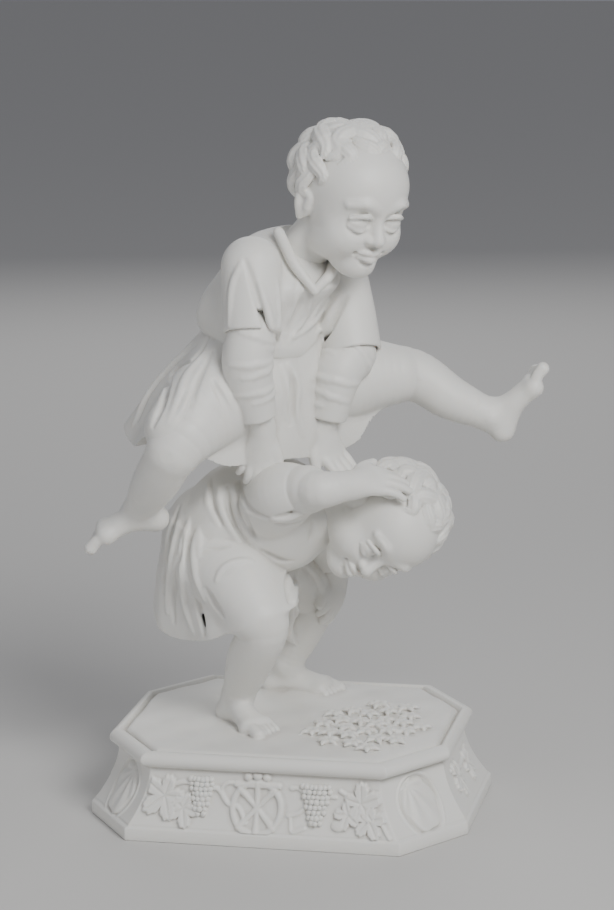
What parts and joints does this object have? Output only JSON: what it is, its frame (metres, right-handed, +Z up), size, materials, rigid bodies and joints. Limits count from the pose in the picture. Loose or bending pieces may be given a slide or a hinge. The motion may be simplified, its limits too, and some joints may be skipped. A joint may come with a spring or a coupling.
{
  "type": "leapfrog figure group",
  "caption": "White bisque figure group of children playing leapfrog on a chamfered plinth with vine and shell relief, made to stand on a shelf or table.",
  "frame": {"origin": "centre of the plinth's flat underside", "axes": "+Z up, +X along the plinth's long side towards the bending child's head, -Y out of the front with the vine relief"},
  "size_m": [0.2085, 0.1465, 0.3291],
  "materials": {
    "bisque": "satin"
  },
  "bodies": {
    "root": {"leapfrog_group": "bisque"}
  },
  "joints": []
}
